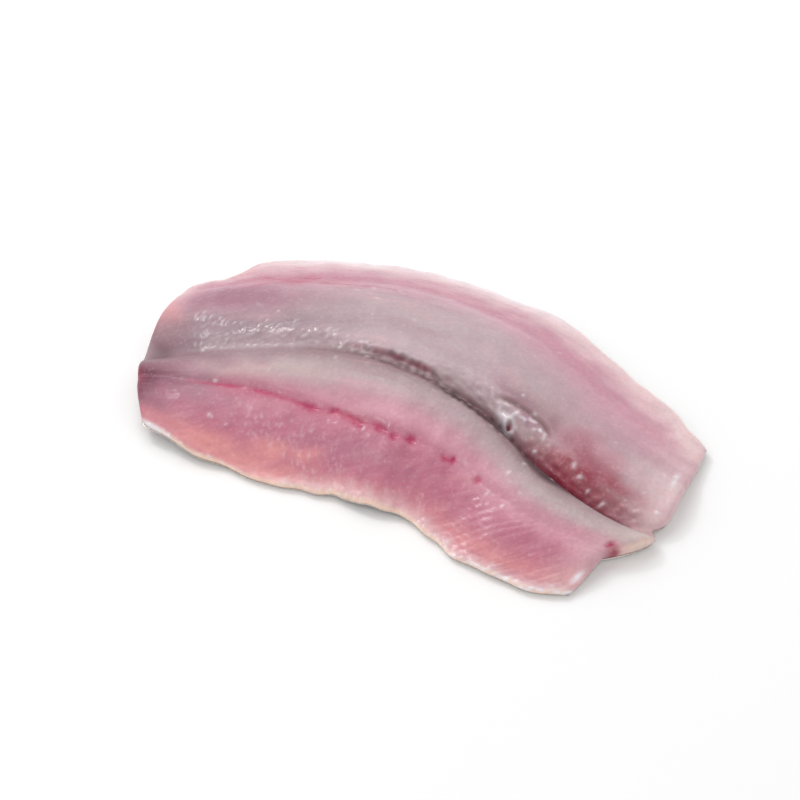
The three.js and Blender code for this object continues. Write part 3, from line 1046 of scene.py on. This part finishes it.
def flesh_colour(finish, here, streaks, mottle, outside_slit):
    clouds = finish.spread(finish.noise(here, 70.0, 3.0, 0.5), (0.25, 0.75), (0.88, 1.08))
    colour = finish.mix(finish.mark("far"), NEAR_TINT, FAR_TINT)
    for coat, tint in COATS.items():
        colour = finish.mix(finish.times(finish.mark(coat), clouds), colour, tint)
    banded = finish.mark("banding")
    swaths = band_noise(finish, 170.0, 30.0, 2.0, 0.5)
    flecks = finish.noise(here, 1300.0, 2.0, 0.6)
    grain = (
        (RIDGES, finish.times(banded, finish.spread(streaks, (0.42, 0.7), (0.0, 0.2)))),
        (VALLEYS, finish.times(banded, finish.spread(streaks, (0.58, 0.3), (0.0, 0.24)))),
        (LIGHT_SWATHS, finish.spread(swaths, (0.5, 0.75), (0.0, 0.25))),
        (DARK_SWATHS, finish.spread(swaths, (0.5, 0.25), (0.0, 0.2))),
        (LIGHT_FLECKS, finish.times(outside_slit, finish.spread(flecks, (0.5, 0.8), (0.0, 0.13)))),
        (DARK_FLECKS, finish.times(outside_slit, finish.spread(flecks, (0.5, 0.2), (0.0, 0.16)))),
    )
    for tint, share in grain:
        colour = finish.mix(share, colour, tint)
    tone = finish.spread(mottle, (0.2, 0.8), (0.94, 1.06))
    grey_tone = finish.node("ShaderNodeCombineColor", {"Red": tone, "Green": tone, "Blue": tone})
    return finish.mix(1.0, colour, grey_tone.outputs["Color"], "MULTIPLY")


def wet_flesh():
    """Moist muscle under a thin uneven film of water, which is thinner at the tail and in the slit."""
    finish = Finish("wet raw flesh")
    here = finish.place()
    uneven = finish.mark("uneven")
    streaks = band_noise(finish, 460.0, 60.0, 3.0, 0.6)
    mottle = finish.noise(here, 260.0, 4.0, 0.6)
    outside_slit = finish.spread(finish.mark("dark"), (0.0, 0.5), (1.0, 0.2))
    roughness = finish.times(
        finish.spread(uneven, (0.15, 1.0), (1.5, 1.0)), finish.spread(mottle, (0.2, 0.8), (0.34, 0.48))
    )
    glossier = finish.spread(finish.mark("wet"), (0.0, 1.0), (1.0, 0.35))
    banded_relief = finish.bump(finish.times(finish.mark("banding"), streaks), BAND_BUMP)
    fine_grain = finish.times(uneven, finish.noise(here, 1500.0, 3.0, 0.6))
    film = finish.times(uneven, finish.noise(here, 500.0))
    finish.feed({
        "Base Color": flesh_colour(finish, here, streaks, mottle, outside_slit),
        "Roughness": finish.times(glossier, roughness),
        "Normal": finish.bump(fine_grain, GRAIN_BUMP, banded_relief),
        "Coat Weight": finish.times(finish.spread(uneven, (0.15, 1.0), (0.08, 0.4)), outside_slit),
        "Coat Normal": finish.bump(film, FILM_BUMP),
        "Coat Roughness": 0.18,
        "IOR": 1.4,
        "Subsurface Weight": 0.25,
        "Subsurface Radius": (0.9, 0.4, 0.35),
        "Subsurface Scale": 0.8 * MM,
    })
    return finish.material


flesh.data.materials.append(wet_flesh())

# The skin. It is one thin sheet under the flesh, steel blue along the back, silver on the flanks and pale at
# the belly. The flesh has shrunk from its cut edge, so a pale wavy lip of it shows along both belly edges.
# The scales are gone, and the pockets that they sat in are left.
SKIN_CELLS = (280, 140)
SKIN_GROWTH = -0.05
SKIN_LENGTHENING = -0.15
SKIN_RIM_DEPTH = 0.72
SKIN_RIM_TIGHTNESS = 0.25
POCKET = (2.8, 3.4)
POCKET_DEPTH = 0.06
LIP_CURL = 0.15
LIP_CURL_WAVES = 0.12
CORNER_CURL = 1.2
SPOT_LINE = (0.44, 0.045)
SPOT_PITCH = 9.5


def scale_pockets(place):
    """0 at the walls of the diamond pockets that the scales sat in, 1 in their middles."""
    a, b = place.distance / POCKET[0], place.out / POCKET[1]
    return np.abs(np.sin(math.pi * (a + b)) * np.sin(math.pi * (a - b)))


def skin_lift(place):
    """The skin's cut edge curls up a little, in waves, and more at the near tail corner."""
    inward = place.inward["edge"]
    curl = bell(inward, 0, 1.3) * (LIP_CURL + LIP_CURL_WAVES * ripples(place, 4, seed=42, squeeze=0.2))
    corner = CORNER_CURL * mound(place.distance - 4, inward, 3, 2.5)
    return np.clip(curl, 0, None) + np.where(place.far, 0, corner)


sheet = lay_out(*grid(*SKIN_CELLS), grow=SKIN_GROWTH, lengthen=SKIN_LENGTHENING)
pockets = scale_pockets(sheet)
outer = blend(-SKIN_RIM_DEPTH * sheet.depth, -sheet.depth, rim(sheet)) + skin_lift(sheet)
middle = outer + SKIN_THICKNESS / 2
half_thickness = rim(sheet, SKIN_RIM_TIGHTNESS) * SKIN_THICKNESS / 2
pocket_walls = rim(sheet, SKIN_RIM_TIGHTNESS) * POCKET_DEPTH * (1 - pockets)
skin_upper = settle(raise_from(sheet, middle + half_thickness))
skin_lower = settle(raise_from(sheet, middle - half_thickness + pocket_walls))
flank = sheet.side + 0.03 * ripples(sheet, 11, seed=45)
spots_along = np.clip(np.sin(2 * math.pi * sheet.distance / SPOT_PITCH) - 0.35, 0, 1)
skin_marks = {
    "side": flank,
    "pocket": pockets,
    "spot": bell(flank, *SPOT_LINE) * spots_along,
    "lip": bell(np.minimum.reduce(list(sheet.inward.values())), 0, 1.2),
}
skin = closed_mesh("skin", skin_upper, skin_lower, skin_marks)
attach(skin, "root")
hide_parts("fillet")

BACK = (0.02, 0.045, 0.06, 1)
UPPER_FLANK = (0.13, 0.2, 0.24, 1)
FLANK = (0.5, 0.53, 0.54, 1)
BELLY = (0.74, 0.72, 0.69, 1)
SPOTS = (0.07, 0.1, 0.13, 1)
POCKET_WALLS = (0.12, 0.15, 0.17, 1)
SPECKLES = (0.75, 0.76, 0.76, 1)
CUT_LIP = (0.92, 0.83, 0.77, 1)


def silver_skin():
    """Silver skin with a metallic sheen under a wet film, darker towards the back."""
    finish = Finish("silver fish skin")
    side = finish.mark("side")
    speckle = finish.noise(finish.place(), 900.0, 4.0, 0.6)
    colour = finish.mix(finish.spread(side, (0.12, 0.28)), BACK, UPPER_FLANK)
    for tint, share in (
        (FLANK, finish.spread(side, (0.24, 0.42))),
        (BELLY, finish.spread(side, (0.6, 0.95))),
        (SPOTS, finish.times(finish.mark("spot"), 0.7)),
        (POCKET_WALLS, finish.spread(finish.mark("pocket"), (0.25, 0.0), (0.0, 0.35))),
        (SPECKLES, finish.spread(speckle, (0.45, 0.75), (0.0, 0.4))),
        (CUT_LIP, finish.mark("lip")),
    ):
        colour = finish.mix(share, colour, tint)
    finish.feed({
        "Base Color": colour,
        "Roughness": finish.spread(speckle, (0.3, 0.7), (0.22, 0.36)),
        "Metallic": 0.35,
        "Coat Weight": 0.5,
        "Coat Roughness": 0.08,
    })
    return finish.material


skin.data.materials.append(silver_skin())

# The studio. A pale floor lies under the fillet. One broad soft light hangs above and behind it, with a
# smaller one beside that, and two small ones make the wet glints. Sizes here are in metres.
FLOOR_SIZE = 6
FLOOR_TINT = (0.9, 0.9, 0.9, 1)
DAYLIGHT = 0.75
GLINT_LAMPS = {"front": (0.1, -0.42, 0.8), "side": (-0.52, -0.2, 0.68)}

bpy.ops.mesh.primitive_plane_add(size=FLOOR_SIZE)
floor = bpy.context.object
floor.name = "floor"
pale_floor = Finish("pale floor")
pale_floor.feed({"Base Color": FLOOR_TINT, "Roughness": 0.8})
floor.data.materials.append(pale_floor.material)

world = bpy.data.worlds.new("studio")
world.use_nodes = True
background = world.node_tree.nodes["Background"]
background.inputs["Color"].default_value = (1, 1, 1, 1)
background.inputs["Strength"].default_value = DAYLIGHT
bpy.context.scene.world = world


def soft_light(name, at, size, power):
    """A square lamp that faces the fillet."""
    lamp = bpy.data.lights.new(name, "AREA")
    lamp.size = size
    lamp.energy = power
    holder = bpy.data.objects.new(name, lamp)
    holder.location = at
    holder.rotation_euler = (-Vector(at)).to_track_quat("-Z", "Y").to_euler()
    bpy.context.scene.collection.objects.link(holder)


soft_light("overhead", at=(-0.25, 0.45, 0.8), size=0.8, power=3)
soft_light("window", at=(-0.42, 0.38, 0.68), size=0.15, power=1)
for lamp_name, lamp_place in GLINT_LAMPS.items():
    soft_light(lamp_name + " glint", at=lamp_place, size=0.08, power=0.28)

# The camera looks down at the fillet's near side, from straight in front, at a point in the fish's own
# millimetres.
CAMERA_ELEVATION = math.radians(45)
CAMERA_DISTANCE = 0.733
CAMERA_AIM = (62.475, -21.267, 9.988)
FOCAL_LENGTH = 170
SENSOR_WIDTH = 36

lens = bpy.data.cameras.new("camera")
lens.lens = FOCAL_LENGTH
lens.sensor_width = SENSOR_WIDTH
camera = bpy.data.objects.new("camera", lens)
away = Vector((0, -math.cos(CAMERA_ELEVATION), math.sin(CAMERA_ELEVATION)))
camera.location = Vector(settle(np.array(CAMERA_AIM))) + away * CAMERA_DISTANCE
camera.rotation_euler = (math.pi / 2 - CAMERA_ELEVATION, 0, 0)
bpy.context.scene.collection.objects.link(camera)
bpy.context.scene.camera = camera
bpy.context.scene.view_settings.view_transform = "Standard"
